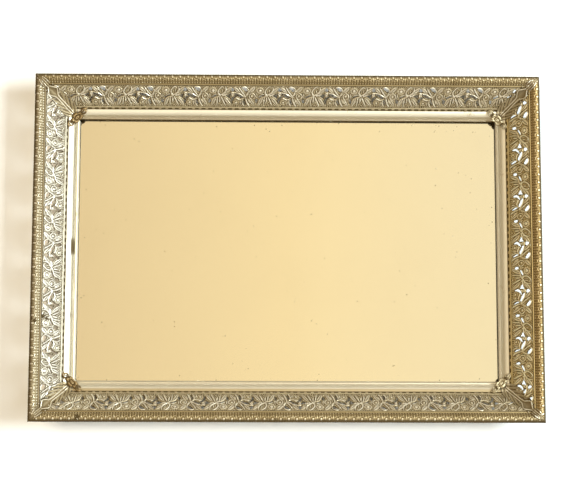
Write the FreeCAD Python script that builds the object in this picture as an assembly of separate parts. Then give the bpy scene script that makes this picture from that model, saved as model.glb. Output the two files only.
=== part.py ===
"""Dresser vanity tray: a mirror bed in a mitred metal moulding, with a flared,
pierced gallery on all four sides and a leaf over each corner.

Frame: +Z up, origin under the middle of the tray on the surface it stands on,
X along the long sides, -Y towards the front. Millimetres.

A cross-section is given as (u, h): u is measured outwards from the sight edge,
where the moulding's lip ends over the glass, and h is the height above the glass.
"""
import FreeCAD, Part
import math
import os

from FreeCAD import Vector

# overall sizes
LENGTH = 432.0
WIDTH = 296.0
REACH = 35.6                 # sight edge to the outside of the rim, in plan

# the bed, from the bottom up
FELT = 1.0
BOARD = 3.0
GLASS = 3.0
GLASS_TOP = FELT + BOARD + GLASS
PLATE_EDGE = 11.2            # how far board and glass reach under the moulding
FELT_EDGE = 2.9

# sheet metal
SHEET = 0.7                  # moulding
STRIP = 0.6                  # gallery strip
LEAF = 1.1                   # corner leaf

# moulding section
LIP_WIDTH = 2.6
WALL_U = 12.2
FLANGE_U = 3.2
FLANGE_GAP = 0.3             # the flange stands this much clear of the table
BEAD_BULGE = 1.8
LEDGE_STEP = 0.4             # the bead stops this far below the ledge that carries the gallery

# gallery section
TOE = (9.0, 10.2)            # foot of the slope, where the strip lies on the moulding
FRIEZE_TOP = (26.1, 31.4)    # top of the slope
ROLL_START = (27.4, 31.9)
ROLL_TOP = (31.5, 34.9)
ROLL_END = (REACH, 31.2)
RIM_TURN = 1.4               # straight edge turned down under the roll

# pierced pattern: one repeat of the scroll, s along the rail, t down the slope
REPEAT = 40.4
MITRE_MARGIN = 8.0           # no piercing nearer than this to a mitre
FIRST_SCROLL = -17.0         # start of the repeat beside the middle of the back
PHASE = {"back": 0.0, "right": 3.2, "front": -3.2, "left": -0.8}
REPEATS_EACH_WAY = 7         # more than the longest side holds
CUT_DEPTH = 6.0              # height of a piercing cutter, through the strip both ways
TRIANGLE_REACH = 4.0         # half the length of the triangle
# (s, t, half length, half width, turn in degrees) of each oval hole
OVALS = [
    (9.7, 5.2, 2.4, 1.5, 80),
    (10.4, 16.0, 3.6, 1.0, 110),
    (15.1, 11.8, 3.9, 1.4, 33),
    (20.4, 4.3, 2.5, 1.5, 50),
    (20.0, 18.2, 3.0, 0.9, 65),
    (30.4, 16.7, 2.6, 1.2, 78),
    (34.4, 12.1, 3.7, 0.8, -36),
]
TRIANGLE = [(3.2, 11.7), (8.0, 9.0), (7.8, 14.6)]

# corner leaf, measured out along the diagonal from the corner of the sight edge
LEAF_INNER = 5.0
LEAF_OUTER = 46.0
LEAF_HALF = 6.6
LEAF_WAIST = 0.38            # where it is widest, as a share of its length
LEAF_ROOT = 0.45             # half width at the inner end, as a share of the widest
FLOWER_OUT = 2.2             # in X and in Y, beyond the corner of the sight edge
FLOWER_RISE = 8.2
FLOWER_TILT = 34.0
PETAL_RING = 3.4
PETAL = (2.7, 2.2, 1.0)      # half axes of one petal
PETALS = 5
BOSS = 1.6
BOSS_RISE = 0.4

# cutting bodies, all larger than the tray needs
MITRE_INSET = 6.0            # how far inside the sight edge a mitre cut starts
MITRE_OVERRUN = 5.0          # how far beyond the rim it ends
CUT_FLOOR = -5.0
CUT_HEIGHT = 80.0

SIGHT_X = LENGTH / 2 - REACH
SIGHT_Y = WIDTH / 2 - REACH
SLOPE = math.atan2(FRIEZE_TOP[1] - TOE[1], FRIEZE_TOP[0] - TOE[0])

# side name: (quarter turns from the front, half run, distance from the middle)
SIDES = {
    "front": (0, SIGHT_X, SIGHT_Y),
    "right": (1, SIGHT_Y, SIGHT_X),
    "back": (2, SIGHT_X, SIGHT_Y),
    "left": (3, SIGHT_Y, SIGHT_X),
}
CORNERS = {
    "front_right": (1, -1),
    "back_right": (1, 1),
    "back_left": (-1, 1),
    "front_left": (-1, -1),
}


def behind(point, distance):
    """A point of the slope moved square to it, to the underside of the strip."""
    return (point[0] + distance * math.sin(SLOPE), point[1] - distance * math.cos(SLOPE))


def at(u, h):
    """Section point as a vector in the plane X = 0, u towards -Y."""
    return Vector(0, -u, GLASS_TOP + h)


def line(a, b):
    return Part.LineSegment(at(*a), at(*b)).toShape()


def arc(a, middle, b):
    return Part.Arc(at(*a), at(*middle), at(*b)).toShape()


def bead_arc():
    """Convex bead between the lip and the foot of the gallery."""
    start = (LIP_WIDTH, SHEET)
    end = (TOE[0], TOE[1] - LEDGE_STEP)
    run, rise = end[0] - start[0], end[1] - start[1]
    chord = math.hypot(run, rise)
    middle = (
        (start[0] + end[0]) / 2 - BEAD_BULGE * rise / chord,
        (start[1] + end[1]) / 2 + BEAD_BULGE * run / chord,
    )
    return start, middle, end


def moulding_path():
    """Outside of the folded channel: lip, bead, ledge, outer wall, bottom flange."""
    start, middle, end = bead_arc()
    ledge = behind(TOE, STRIP)
    climb = WALL_U - ledge[0]
    ledge_end = (WALL_U, ledge[1] + climb * math.tan(SLOPE))
    bottom = FLANGE_GAP - GLASS_TOP
    return [
        line((0, SHEET), start),
        arc(start, middle, end),
        line(end, ledge),
        line(ledge, ledge_end),
        line(ledge_end, (WALL_U, bottom)),
        line((WALL_U, bottom), (FLANGE_U, bottom)),
    ]


def roll_path():
    """Rolled rim: short step, half-round roll, edge turned down."""
    return [
        line(FRIEZE_TOP, ROLL_START),
        arc(ROLL_START, ROLL_TOP, ROLL_END),
        line(ROLL_END, (ROLL_END[0], ROLL_END[1] - RIM_TURN)),
    ]


def gallery_path():
    """Inside of the gallery strip: slope, step, half-round roll, turned-down edge."""
    return [line(TOE, FRIEZE_TOP)] + roll_path()


def thicken(edges, thickness):
    """Flat ribbon on one side of an open path; negative is under and inside the metal."""
    return Part.Wire(edges).makeOffset2D(thickness, 0, True, True, False)


def mitred(face, half_run, distance):
    """Extrude a section along X for a side lying distance in front of the middle,
    and cut its ends on the diagonals."""
    reach = REACH + MITRE_OVERRUN
    section = face.copy()
    section.translate(Vector(-half_run - reach, -distance, 0))
    bar = section.extrude(Vector(2 * (half_run + reach), 0, 0))
    plan = [
        Vector(-half_run + MITRE_INSET, -distance + MITRE_INSET, CUT_FLOOR),
        Vector(half_run - MITRE_INSET, -distance + MITRE_INSET, CUT_FLOOR),
        Vector(half_run + reach, -distance - reach, CUT_FLOOR),
        Vector(-half_run - reach, -distance - reach, CUT_FLOOR),
    ]
    wedge = Part.Face(Part.makePolygon(plan + plan[:1])).extrude(Vector(0, 0, CUT_HEIGHT))
    return bar.common(wedge)


def turned(shape, quarters):
    shape.rotate(Vector(0, 0, 0), Vector(0, 0, 1), 90 * quarters)
    return shape


def one_solid(shape):
    solids = shape.Solids
    if len(solids) != 1:
        raise ValueError("expected one solid, got %d" % len(solids))
    return solids[0]


def slope_frame(s, t, distance):
    """Place on the front slope: s runs towards -X with the rim up, t is down from the rim."""
    u = FRIEZE_TOP[0] - t * math.cos(SLOPE)
    h = FRIEZE_TOP[1] - t * math.sin(SLOPE)
    return Vector(-s, -distance - u, GLASS_TOP + h)


def oval_cutter(hole, origin, distance):
    s, t, long_half, short_half, turn = hole
    oval = Part.Ellipse(Vector(0, 0, 0), long_half, short_half).toShape()
    cutter = Part.Face(Part.Wire(oval)).extrude(Vector(0, 0, CUT_DEPTH))
    cutter.translate(Vector(0, 0, -CUT_DEPTH / 2))
    cutter.rotate(Vector(0, 0, 0), Vector(0, 0, 1), turn)
    # lay it on the slope, its X along s and its Y down the slope
    along = Vector(-1, 0, 0)
    down = Vector(0, math.cos(SLOPE), -math.sin(SLOPE))
    normal = along.cross(down)
    place = slope_frame(origin + s, t, distance)
    matrix = FreeCAD.Matrix(
        along.x, down.x, normal.x, place.x,
        along.y, down.y, normal.y, place.y,
        along.z, down.z, normal.z, place.z,
    )
    return cutter.transformGeometry(matrix)


def triangle_cutter(origin, distance):
    normal = Vector(0, math.sin(SLOPE), math.cos(SLOPE))
    below = normal * (CUT_DEPTH / 2)
    corners = [slope_frame(origin + s, t, distance) - below for s, t in TRIANGLE]
    return Part.Face(Part.makePolygon(corners + corners[:1])).extrude(normal * CUT_DEPTH)


def piercing(name, half_run, distance):
    """All cutters of one side, whole holes only, none near the mitres."""
    cutters = []
    for step in range(-REPEATS_EACH_WAY, REPEATS_EACH_WAY):
        origin = FIRST_SCROLL + PHASE[name] + step * REPEAT
        for hole in OVALS:
            u = FRIEZE_TOP[0] - hole[1] * math.cos(SLOPE)
            if abs(origin + hole[0]) < half_run + u - MITRE_MARGIN - hole[2]:
                cutters.append(oval_cutter(hole, origin, distance))
        middle_s, middle_t = TRIANGLE[1]
        u = FRIEZE_TOP[0] - middle_t * math.cos(SLOPE)
        if abs(origin + middle_s) < half_run + u - MITRE_MARGIN - TRIANGLE_REACH:
            cutters.append(triangle_cutter(origin, distance))
    return cutters


def moulding(name):
    quarters, half_run, distance = SIDES[name]
    bar = mitred(thicken(moulding_path(), -SHEET), half_run, distance)
    return turned(one_solid(bar), quarters)


def gallery(name):
    quarters, half_run, distance = SIDES[name]
    strip = mitred(thicken(gallery_path(), -STRIP), half_run, distance)
    strip = strip.cut(Part.makeCompound(piercing(name, half_run, distance)))
    return turned(one_solid(strip), quarters)


def leaf_outline():
    """Leaf in plan: X out along the diagonal, widest below the middle, pointed outside."""
    waist = LEAF_INNER + LEAF_WAIST * (LEAF_OUTER - LEAF_INNER)
    inner_half = LEAF_ROOT * LEAF_HALF
    tip = Vector(LEAF_OUTER, 0, 0)
    edges = []
    for sign in (1, -1):
        points = [
            Vector(LEAF_INNER, sign * inner_half, 0),
            Vector(waist, sign * LEAF_HALF, 0),
            tip,
        ]
        curve = Part.BSplineCurve()
        curve.interpolate(points)
        edges.append(curve.toShape())
    edges.append(Part.LineSegment(Vector(LEAF_INNER, -inner_half, 0),
                                  Vector(LEAF_INNER, inner_half, 0)).toShape())
    return Part.Face(Part.Wire(Part.__sortEdges__(edges)))


def flower():
    """Five domed petals round a boss, flat side down at Z = 0."""
    side = 4 * (PETAL_RING + PETAL[0])
    half_space = Part.makeBox(side, side, side, Vector(-side / 2, -side / 2, 0))
    bloom = Part.makeSphere(BOSS, Vector(0, 0, BOSS_RISE))
    for step in range(PETALS):
        petal = Part.makeSphere(1.0)
        stretch = FreeCAD.Matrix()
        stretch.scale(*PETAL)
        petal = petal.transformGeometry(stretch)
        petal.translate(Vector(PETAL_RING, 0, 0))
        petal.rotate(Vector(0, 0, 0), Vector(0, 0, 1), 360 / PETALS * step)
        bloom = bloom.fuse(petal)
    return bloom.common(half_space)


def corner_leaf():
    """Leaf and flower of the front right corner: the leaf lies in the valley of the mitre
    and over the bead, and the flower stands proud of the bead at the glass."""
    start, middle, end = bead_arc()
    cover = [arc(start, middle, end), line(end, TOE), line(TOE, FRIEZE_TOP)] + roll_path()[:2]
    skin = thicken(cover, LEAF)
    front = mitred(skin, SIGHT_X, SIGHT_Y)
    right = turned(mitred(skin, SIGHT_Y, SIGHT_X), 1)
    outline = leaf_outline()
    outline.rotate(Vector(0, 0, 0), Vector(0, 0, 1), -45)
    outline.translate(Vector(SIGHT_X, -SIGHT_Y, CUT_FLOOR))
    leaf = front.fuse(right).common(outline.extrude(Vector(0, 0, CUT_HEIGHT)))

    bloom = flower()
    bloom.rotate(Vector(0, 0, 0), Vector(0, 1, 0), -FLOWER_TILT)
    bloom.rotate(Vector(0, 0, 0), Vector(0, 0, 1), -45)
    bloom.translate(Vector(SIGHT_X + FLOWER_OUT, -SIGHT_Y - FLOWER_OUT, GLASS_TOP + FLOWER_RISE))
    return leaf.fuse(bloom)


def corner_leaves(mouldings):
    shape = corner_leaf().cut(mouldings["front"]).cut(mouldings["right"])
    first = max(shape.Solids, key=lambda solid: solid.Volume)
    leaves = {}
    for name, (side_x, side_y) in CORNERS.items():
        leaf = first.copy()
        if side_x < 0:
            leaf = leaf.mirror(Vector(0, 0, 0), Vector(1, 0, 0))
        if side_y > 0:
            leaf = leaf.mirror(Vector(0, 0, 0), Vector(0, 1, 0))
        leaves[name] = leaf
    return leaves


def plate(edge, bottom, thickness):
    half_x, half_y = SIGHT_X + edge, SIGHT_Y + edge
    return Part.makeBox(2 * half_x, 2 * half_y, thickness, Vector(-half_x, -half_y, bottom))


def main():
    os.makedirs("parts", exist_ok=True)
    nodes = {
        "felt_sheet": plate(FELT_EDGE, 0, FELT),
        "backing_board": plate(PLATE_EDGE, FELT, BOARD),
        "mirror_plate": plate(PLATE_EDGE, FELT + BOARD, GLASS),
    }
    mouldings = {name: moulding(name) for name in SIDES}
    for name in SIDES:
        nodes["moulding_" + name] = mouldings[name]
        nodes["gallery_" + name] = gallery(name)
    for name, leaf in corner_leaves(mouldings).items():
        nodes["corner_leaf_" + name] = leaf
    for name, shape in nodes.items():
        shape.exportStep("parts/%s.step" % name)
        box = shape.BoundBox
        print("%-26s %9.0f mm3  x %.1f..%.1f  y %.1f..%.1f  z %.2f..%.2f valid %s" % (
            name, shape.Volume, box.XMin, box.XMax, box.YMin, box.YMax,
            box.ZMin, box.ZMax, shape.isValid()))


main()
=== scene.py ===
# %% [markdown]
# # Dresser vanity tray
# A large tray for perfume bottles, of the kind made from the 1950s on. A mirror lies
# in a mitred channel of thin brass. A second strip of brass flares out from the channel
# on all four sides. The strip is stamped with scrolling leaves and flowers, pierced
# between them, and rolled over at the top into an egg-and-dart rim. A stamped leaf
# covers each mitre and ends in a small flower over the glass. Everything is gilded,
# then washed with a dark lacquer that was wiped off the high places.
#
# The notebook builds each stamping as a surface: a height given by a formula at every
# point of a grid, laid on the cross-section of the rail. Lengths are in millimetres
# until the last step, which puts the points into Blender in metres.

import math

import bpy
import numpy as np
from mathutils import Matrix, Vector


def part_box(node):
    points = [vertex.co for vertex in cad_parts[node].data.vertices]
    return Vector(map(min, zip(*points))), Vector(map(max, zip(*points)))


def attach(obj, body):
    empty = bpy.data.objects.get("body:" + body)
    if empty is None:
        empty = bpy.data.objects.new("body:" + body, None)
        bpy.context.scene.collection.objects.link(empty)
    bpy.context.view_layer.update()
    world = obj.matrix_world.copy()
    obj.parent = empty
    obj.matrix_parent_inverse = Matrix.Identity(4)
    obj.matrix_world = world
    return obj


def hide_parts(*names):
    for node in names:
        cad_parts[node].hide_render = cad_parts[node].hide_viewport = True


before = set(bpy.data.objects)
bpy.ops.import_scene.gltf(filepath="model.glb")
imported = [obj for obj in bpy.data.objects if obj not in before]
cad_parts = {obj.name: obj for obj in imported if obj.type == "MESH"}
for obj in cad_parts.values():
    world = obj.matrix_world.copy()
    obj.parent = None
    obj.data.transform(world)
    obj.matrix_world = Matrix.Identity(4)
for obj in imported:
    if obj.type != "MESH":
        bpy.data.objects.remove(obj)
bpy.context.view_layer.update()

# %% [markdown]
# ## Where things are
# The rails share one cross-section. A place on it is (u, h): u is how far it lies
# outside the sight edge, where the lip of the channel ends over the glass, and h is
# its height above the glass. The sight edge, the glass and the rim are read from the
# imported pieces, and the four rails are quarter turns of the front one.

# %% Measures of the tray
MM = 0.001


def side_of(node, corner, axis):
    """One coordinate of a node's box, in millimetres."""
    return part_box(node)[corner][axis] / MM


SIGHT_X = side_of("moulding_right", 0, 0)
SIGHT_Y = side_of("moulding_back", 0, 1)
REACH = side_of("gallery_right", 1, 0) - SIGHT_X
GLASS_TOP = side_of("mirror_plate", 1, 2)
TALLEST = side_of("corner_leaf_front_right", 1, 2)

# name: (quarter turns from the front, half the sight edge, distance from the middle)
RAILS = {
    "front": (0, SIGHT_X, SIGHT_Y),
    "right": (1, SIGHT_Y, SIGHT_X),
    "back": (2, SIGHT_X, SIGHT_Y),
    "left": (3, SIGHT_Y, SIGHT_X),
}
CORNERS = {
    "front_right": (1, -1),
    "back_right": (1, 1),
    "back_left": (-1, 1),
    "front_left": (-1, -1),
}
print("sight edge", SIGHT_X * 2, SIGHT_Y * 2, "reach", REACH, "glass at", GLASS_TOP)

# %% [markdown]
# ## From grids to metal
# Thin metal has two faces a fraction of a millimetre apart. Every stamping here is a
# front grid of points and a back grid behind it. Cells that fall in a hole are left
# out, and a wall closes the metal wherever a kept cell has no neighbour. Points close
# to the edge of a hole are slid onto it first, so that the edge comes out smooth.

# %% Grid helpers


def smoothstep(low, high, x):
    """0 below low, 1 above high, 3x^2 - 2x^3 between."""
    x = np.clip((x - low) / (high - low), 0, 1)
    return x * x * (3 - 2 * x)


def metal_faces(keep):
    """Faces of a closed sheet: each kept cell in front, the same cell turned over
    behind, and a wall along every edge that only one kept cell has."""
    rows, cols = keep.shape[0] + 1, keep.shape[1] + 1
    index = np.arange(rows * cols).reshape(rows, cols)
    ring = [index[:-1, :-1], index[:-1, 1:], index[1:, 1:], index[1:, :-1]]
    behind = rows * cols
    front = np.stack([corner[keep] for corner in ring], 1)
    faces = [front, front[:, ::-1] + behind]
    padded = np.pad(keep, 1)
    neighbours = [padded[:-2, 1:-1], padded[1:-1, 2:], padded[2:, 1:-1], padded[1:-1, :-2]]
    for turn, neighbour in enumerate(neighbours):
        rim = keep & ~neighbour
        a, b = ring[turn][rim], ring[(turn + 1) % 4][rim]
        faces.append(np.stack([b, a, a + behind, b + behind], 1))
    return np.concatenate(faces)


def closed_piece(name, front, back, keep=None, attributes=(), sharp=55):
    """One object from two grids of points in millimetres. attributes are (name, grid)."""
    rows, cols = front.shape[:2]
    if keep is None:
        keep = np.ones((rows - 1, cols - 1), bool)
    faces = metal_faces(keep)
    points = np.concatenate([front.reshape(-1, 3), back.reshape(-1, 3)]) * MM
    return piece_from(name, points, faces, attributes, sharp)


def piece_from(name, points, faces, attributes=(), sharp=55):
    """One object from points in metres and four-cornered faces."""
    used, faces = np.unique(faces, return_inverse=True)
    faces = faces.reshape(-1, 4)
    points = points[used]
    mesh = bpy.data.meshes.new(name)
    mesh.vertices.add(len(points))
    mesh.vertices.foreach_set("co", points.astype(np.float32).ravel())
    mesh.loops.add(faces.size)
    mesh.loops.foreach_set("vertex_index", faces.ravel().astype(np.int32))
    mesh.polygons.add(len(faces))
    mesh.polygons.foreach_set("loop_start", np.arange(0, faces.size, 4, dtype=np.int32))
    for label, grid in attributes:
        both = np.concatenate([grid.ravel(), grid.ravel()])[used]
        layer = mesh.attributes.new(label, "FLOAT", "POINT")
        layer.data.foreach_set("value", both.astype(np.float32))
    mesh.update(calc_edges=True)
    mesh.validate()
    mesh.shade_smooth()
    mesh.set_sharp_from_angle(angle=math.radians(sharp))
    piece = bpy.data.objects.new(name, mesh)
    bpy.context.collection.objects.link(piece)
    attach(piece, "root")
    print(name, len(faces) * 2, "triangles")
    return piece


def no_pinches(keep):
    """Fill cells until no two kept cells touch at a corner only."""
    keep = keep.copy()
    for _ in range(4):
        a, b, c, d = keep[:-1, :-1], keep[:-1, 1:], keep[1:, :-1], keep[1:, 1:]
        keep[:-1, :-1] |= b & c & ~a & ~d
        a, b, c, d = keep[:-1, :-1], keep[:-1, 1:], keep[1:, :-1], keep[1:, 1:]
        keep[:-1, 1:] |= a & d & ~b & ~c
    return keep


def on_rail(rail, s, u, h):
    """Points of a rail: s runs clockwise seen from above, 0 at the rail's middle."""
    quarters, _, distance = RAILS[rail]
    x, y = -s, -(distance + u)
    for _ in range(quarters):
        x, y = -y, x
    return np.stack([x, y, GLASS_TOP + h], -1)


# %% [markdown]
# ## The cross-section
# The section is the one the strip was bent to: a straight slope from its toe T up to F,
# a short step, a half round roll, and an edge turned down on the outside. The channel
# below it has a flat lip, a convex bead, a ledge that carries the strip, an outer wall
# and a flange bent in under the board.

# %% Section of the strip
TOE = np.array([9.0, 10.2])
FRIEZE = np.array([26.1, 31.4])
ROLL_START = np.array([27.4, 31.9])
ROLL_TOP = np.array([31.5, 34.9])
ROLL_END = np.array([REACH, 31.2])
RIM_TURN = 1.4
SLOPE = math.atan2(*(FRIEZE - TOE)[::-1])
SLOPE_LENGTH = float(np.hypot(*(FRIEZE - TOE)))
UP_SLOPE = np.array([math.cos(SLOPE), math.sin(SLOPE)])
OFF_SLOPE = np.array([-math.sin(SLOPE), math.cos(SLOPE)])


def circle_through(a, b, c):
    """Centre and radius of the circle through three points."""
    matrix = 2 * np.array([b - a, c - a])
    centre = np.linalg.solve(matrix, [b @ b - a @ a, c @ c - a @ a])
    return centre, float(np.hypot(*(a - centre)))


def arc_points(a, b, c, count):
    """count points evenly along the arc from a through b to c."""
    centre, radius = circle_through(a, b, c)
    angles = np.unwrap([math.atan2(*(p - centre)[::-1]) for p in (a, b, c)])
    turn = np.linspace(angles[0], angles[2], count)
    return centre + radius * np.stack([np.cos(turn), np.sin(turn)], 1)


def along(path, distances):
    """Points at the given distances along a polyline, and the polyline's length."""
    steps = np.hypot(*np.diff(path, axis=0).T)
    reached = np.concatenate([[0], np.cumsum(steps)])
    where = np.clip(distances, 0, reached[-1])
    return np.stack([np.interp(where, reached, path[:, i]) for i in (0, 1)], -1), reached[-1]


def left_normals(path):
    """Unit normals on the left of a path, averaged over neighbouring points."""
    step = np.gradient(path, axis=0)
    step /= np.hypot(*step.T)[:, None]
    return np.stack([-step[:, 1], step[:, 0]], 1)


ROLL = np.concatenate([
    FRIEZE[None],
    arc_points(ROLL_START, ROLL_TOP, ROLL_END, 60),
    (ROLL_END - [0, RIM_TURN])[None],
])
ROLL_LENGTH = float(along(ROLL, np.zeros(1))[1])
print("slope", round(SLOPE_LENGTH, 2), "roll", round(ROLL_LENGTH, 2))

# %% [markdown]
# ## The stamped scroll
# One repeat of the pattern is 40.4 mm long. A vine runs along the strip and splits at
# two nodes. Above each node hangs a looped leaf or a round opening, and below it a fan
# of long leaves, with a five-lobed flower, a bud and a round blossom between. The die
# cut the ornament as ridges and leaves with a vein, so each one here is a tapered
# stroke: a path of points (s, t, half width), with s along the rail and t down the
# slope from the rim. The height of a stroke is a dome over its half width. Strokes are
# stamped one into the next, so the highest one wins.

# %% One repeat of the scroll
REPEAT = 40.4
LOOKUP = 0.1                     # spacing of the table that holds one repeat

LEAVES = [
    [(4.2, 7.0, 0.5), (5.8, 5.6, 1.6), (7.5, 4.0, 1.5), (9.1, 2.3, 0.3)],
    [(10.9, 2.3, 0.3), (12.4, 4.2, 1.5), (14.0, 6.1, 1.5), (15.8, 8.1, 0.4)],
    [(24.6, 7.6, 0.6), (25.9, 5.7, 1.9), (27.5, 3.7, 1.7), (29.0, 2.0, 0.3)],
    [(2.5, 9.9, 0.4), (4.4, 8.7, 1.0), (6.9, 7.2, 0.4)],
    [(24.3, 15.0, 0.5), (25.9, 18.0, 1.5), (28.2, 22.2, 0.5)],
    [(35.4, 12.8, 0.5), (33.7, 16.4, 1.7), (32.5, 19.6, 1.5), (31.4, 22.3, 0.5)],
    [(42.7, 13.3, 0.5), (44.9, 16.4, 1.6), (46.6, 19.2, 1.4), (48.6, 22.2, 0.5)],
]
RIDGES = [
    [(39.2, 10.5, 0.6), (37.7, 8.3, 0.75), (38.4, 4.9, 0.7), (41.0, 1.9, 0.6), (43.5, 1.2, 0.4)],
    [(39.6, 10.9, 0.6), (43.0, 8.2, 0.75), (44.5, 5.0, 0.7), (44.3, 1.9, 0.5)],
    [(41.2, 8.4, 0.35), (41.4, 6.4, 0.6), (41.8, 4.4, 0.4)],
    [(15.0, 2.0, 0.4), (16.2, 4.4, 0.65), (17.7, 7.2, 0.7), (20.0, 10.9, 0.6)],
    [(17.3, 3.9, 0.5), (17.9, 2.3, 0.6), (19.9, 1.8, 0.6), (21.9, 2.9, 0.6), (23.1, 5.0, 0.65),
     (22.9, 8.0, 0.7), (21.3, 10.9, 0.6)],
    [(8.1, 8.4, 0.4), (9.3, 10.4, 0.65), (9.4, 13.2, 0.5)],
    [(11.2, 8.1, 0.4), (10.4, 10.4, 0.6), (10.0, 12.6, 0.4)],
    [(8.7, 7.7, 0.4), (9.8, 8.4, 0.7), (11.3, 7.7, 0.4)],
    [(11.9, 8.3, 0.5), (15.4, 9.3, 0.65), (18.3, 11.5, 0.65), (20.4, 12.4, 0.6)],
    [(11.3, 11.9, 0.5), (13.5, 14.3, 0.6), (16.0, 15.6, 0.6), (18.5, 14.3, 0.4)],
    [(18.5, 14.2, 0.6), (17.8, 17.6, 0.7), (18.3, 20.4, 0.7), (19.6, 22.7, 0.5)],
    [(20.8, 13.4, 0.5), (21.4, 17.0, 0.8), (22.6, 20.4, 0.8), (24.1, 22.7, 0.5)],
    [(22.6, 14.2, 0.4), (23.5, 17.0, 0.6), (24.5, 20.4, 0.4)],
    [(16.0, 16.2, 0.4), (16.3, 19.2, 0.6), (15.6, 22.4, 0.4)],
    [(10.2, 16.8, 0.4), (10.9, 14.9, 0.55), (12.9, 14.6, 0.55), (14.6, 15.9, 0.4)],
    [(26.6, 8.3, 0.5), (28.9, 10.8, 0.6), (28.6, 13.7, 0.6), (26.3, 15.6, 0.5)],
    [(26.6, 8.3, 0.5), (24.4, 10.3, 0.6), (24.3, 13.2, 0.6), (26.3, 15.6, 0.5)],
    [(30.0, 8.6, 0.4), (30.7, 11.2, 0.6), (30.1, 13.8, 0.5)],
    [(38.6, 10.8, 0.6), (35.6, 10.0, 0.6), (32.6, 11.6, 0.5), (31.2, 13.6, 0.4)],
    [(38.4, 12.3, 0.6), (35.5, 13.4, 0.5), (32.9, 15.0, 0.4)],
    [(37.4, 12.6, 0.5), (36.6, 16.5, 0.7), (36.2, 22.3, 0.5)],
    [(38.9, 13.4, 0.5), (38.9, 16.2, 0.8), (38.5, 19.3, 0.4)],
    [(40.2, 12.8, 0.5), (41.7, 16.8, 0.8), (43.9, 22.3, 0.5)],
    [(40.7, 10.4, 0.6), (43.1, 10.9, 0.7), (45.8, 10.1, 0.5)],
    [(22.0, 11.8, 0.5), (23.0, 10.0, 0.5), (24.6, 8.3, 0.4)],
]
KNOBS = [
    (39.2, 11.3, 1.25), (20.6, 12.3, 1.15), (1.4, 11.4, 0.95), (9.8, 7.2, 0.7),
    (26.3, 11.7, 1.05), (41.8, 3.0, 0.5), (12.0, 1.3, 0.5), (23.9, 1.6, 0.5),
    (31.4, 21.0, 0.4), (7.7, 16.2, 0.5), (36.2, 20.4, 0.5), (22.5, 20.6, 0.5),
]
# holes, as strokes too
HOLES = [
    [(9.8, 3.5, 0.5), (9.8, 5.6, 1.55), (9.9, 5.9, 1.6)],
    [(12.2, 12.6, 0.5), (10.2, 14.2, 1.0), (8.7, 17.0, 1.0), (9.1, 19.9, 0.4)],
    [(12.3, 10.0, 0.9), (14.6, 11.2, 1.5), (17.3, 13.1, 1.3)],
    [(19.3, 3.7, 1.3), (20.8, 5.0, 1.7), (21.7, 6.4, 1.1)],
    [(18.9, 15.8, 0.5), (19.4, 18.4, 0.75), (20.6, 21.2, 0.4)],
    [(30.2, 15.8, 0.8), (30.3, 17.3, 1.25), (30.3, 18.9, 0.9)],
    [(32.6, 13.3, 0.65), (34.4, 12.1, 0.8), (36.6, 10.6, 0.5)],
]
TRIANGLE = [(3.4, 11.8), (8.2, 9.2), (7.5, 14.8)]


def smooth_path(points, count):
    """count samples of the curve through the points (Catmull-Rom)."""
    points = np.array(points, float)
    ends = [2 * points[0] - points[1], 2 * points[-1] - points[-2]]
    p = np.vstack([ends[0], points, ends[1]])
    spans = len(points) - 1
    place = np.linspace(0, spans, count)
    i = np.minimum(place.astype(int), spans - 1)
    f = (place - i)[:, None]
    a, b, c, d = p[i], p[i + 1], p[i + 2], p[i + 3]
    return 0.5 * (2 * b + (c - a) * f + (2 * a - 5 * b + 4 * c - d) * f ** 2
                  + (3 * b - a - 3 * c + d) * f ** 3)


def nearest(s, t, path, period=None, count=14):
    """Distance to a tapered path, its half width there, and the share of the path passed,
    for every point (s, t). With a period, s repeats."""
    samples = smooth_path(path, count)
    best = np.full(s.shape, 1e9)
    width, passed = np.ones(s.shape), np.zeros(s.shape)
    middle = samples[:, 0].mean()
    if period:
        s = (s - middle + period / 2) % period + middle - period / 2
    for k, (a, b) in enumerate(zip(samples[:-1], samples[1:])):
        step = b[:2] - a[:2]
        f = ((s - a[0]) * step[0] + (t - a[1]) * step[1]) / max(step @ step, 1e-9)
        f = np.clip(f, 0, 1)
        d = np.hypot(s - a[0] - f * step[0], t - a[1] - f * step[1])
        w = np.maximum(a[2] + f * (b[2] - a[2]), 0.15)
        closer = d - w < best - width
        best = np.where(closer, d, best)
        width = np.where(closer, w, width)
        passed = np.where(closer, (k + f) / (count - 1), passed)
    return best, width, passed


def dome(ratio):
    """1 on the middle line, falling round to 0 at the edge."""
    return np.sqrt(np.clip(1 - ratio ** 2, 0, 1))


def ridge(s, t, path, period):
    """A stem: a round ridge."""
    d, w, _ = nearest(s, t, path, period)
    w = 1.2 * w
    return dome(d / w) * np.clip(w / 0.7, 0.6, 1.15)


def leaf(s, t, path, period):
    """A leaf: a low dome with a sunk midrib and side veins."""
    d, w, passed = nearest(s, t, path, period)
    w = 1.1 * w + 0.12
    ratio = d / w
    rib = np.exp(-(d / 0.32) ** 2)
    veins = 0.10 * np.cos(2 * math.pi * (passed * 7 + ratio * 0.8)) * smoothstep(0.15, 0.5, ratio)
    return dome(ratio) ** 0.7 * (0.86 - 0.42 * rib + veins)


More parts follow.
